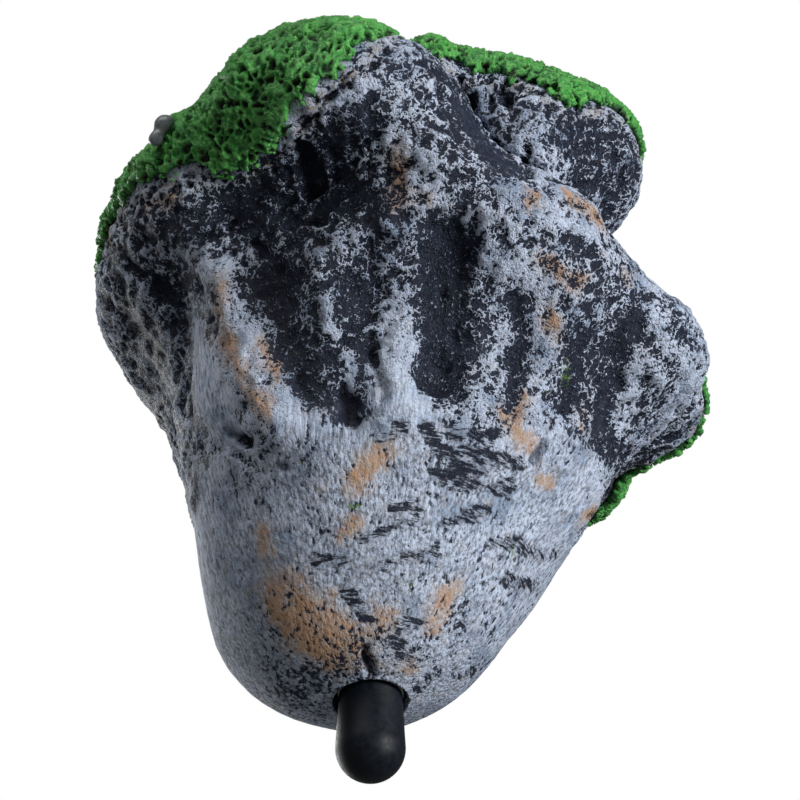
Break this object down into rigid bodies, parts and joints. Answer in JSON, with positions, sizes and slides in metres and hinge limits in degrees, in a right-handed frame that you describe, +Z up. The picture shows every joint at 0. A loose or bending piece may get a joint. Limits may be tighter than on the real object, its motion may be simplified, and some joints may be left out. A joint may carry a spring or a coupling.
{
  "type": "floating aquarium rock",
  "caption": "Foam-cored resin rock with a mossy plateau, an upper tier and a side ledge, and a pull-out ballast rod under a black rubber cap at its lower tip.",
  "frame": {"origin": "the neck: the point on the ballast stem's axis that is level with the lower tip of the rock", "axes": "+Z up, from the rubber cap to the mossy plateau; -Y is the face with the deep hollows; +X towards the upper tier and the side ledge"},
  "size_m": [0.1365, 0.1291, 0.1534],
  "materials": {
    "painted_resin": "matte",
    "foam": "matte",
    "moss": "matte",
    "glue": "satin",
    "dowel_wood": "matte",
    "tube_plastic": "satin",
    "plug_rubber": "matte",
    "ballast_steel": "satin",
    "cap_rubber": "satin"
  },
  "bodies": {
    "rock": {"main_rock_skin": "painted_resin", "main_foam_core": "foam", "upper_tier_skin": "painted_resin", "upper_tier_core": "foam", "side_ledge_skin": "painted_resin", "side_ledge_core": "foam", "main_moss_mat": "moss", "upper_moss_mat": "moss", "ledge_moss_mat": "moss", "moss_glue_bead": "glue", "tier_dowel_front": "dowel_wood", "tier_dowel_back": "dowel_wood", "ledge_dowel_inner": "dowel_wood", "ledge_dowel_outer": "dowel_wood", "ballast_tube": "tube_plastic", "tube_end_plug": "plug_rubber"},
    "ballast": {"ballast_rod": "ballast_steel"},
    "cap": {"rubber_cap": "cap_rubber"}
  },
  "joints": [
    {"name": "ballast_slide", "type": "slide", "parent": "rock", "child": "ballast", "axis": [0, 0, -1], "range_m": [0, 0.062]},
    {"name": "cap_pull", "type": "slide", "parent": "ballast", "child": "cap", "axis": [0, 0, -1], "range_m": [0, 0.02]}
  ]
}
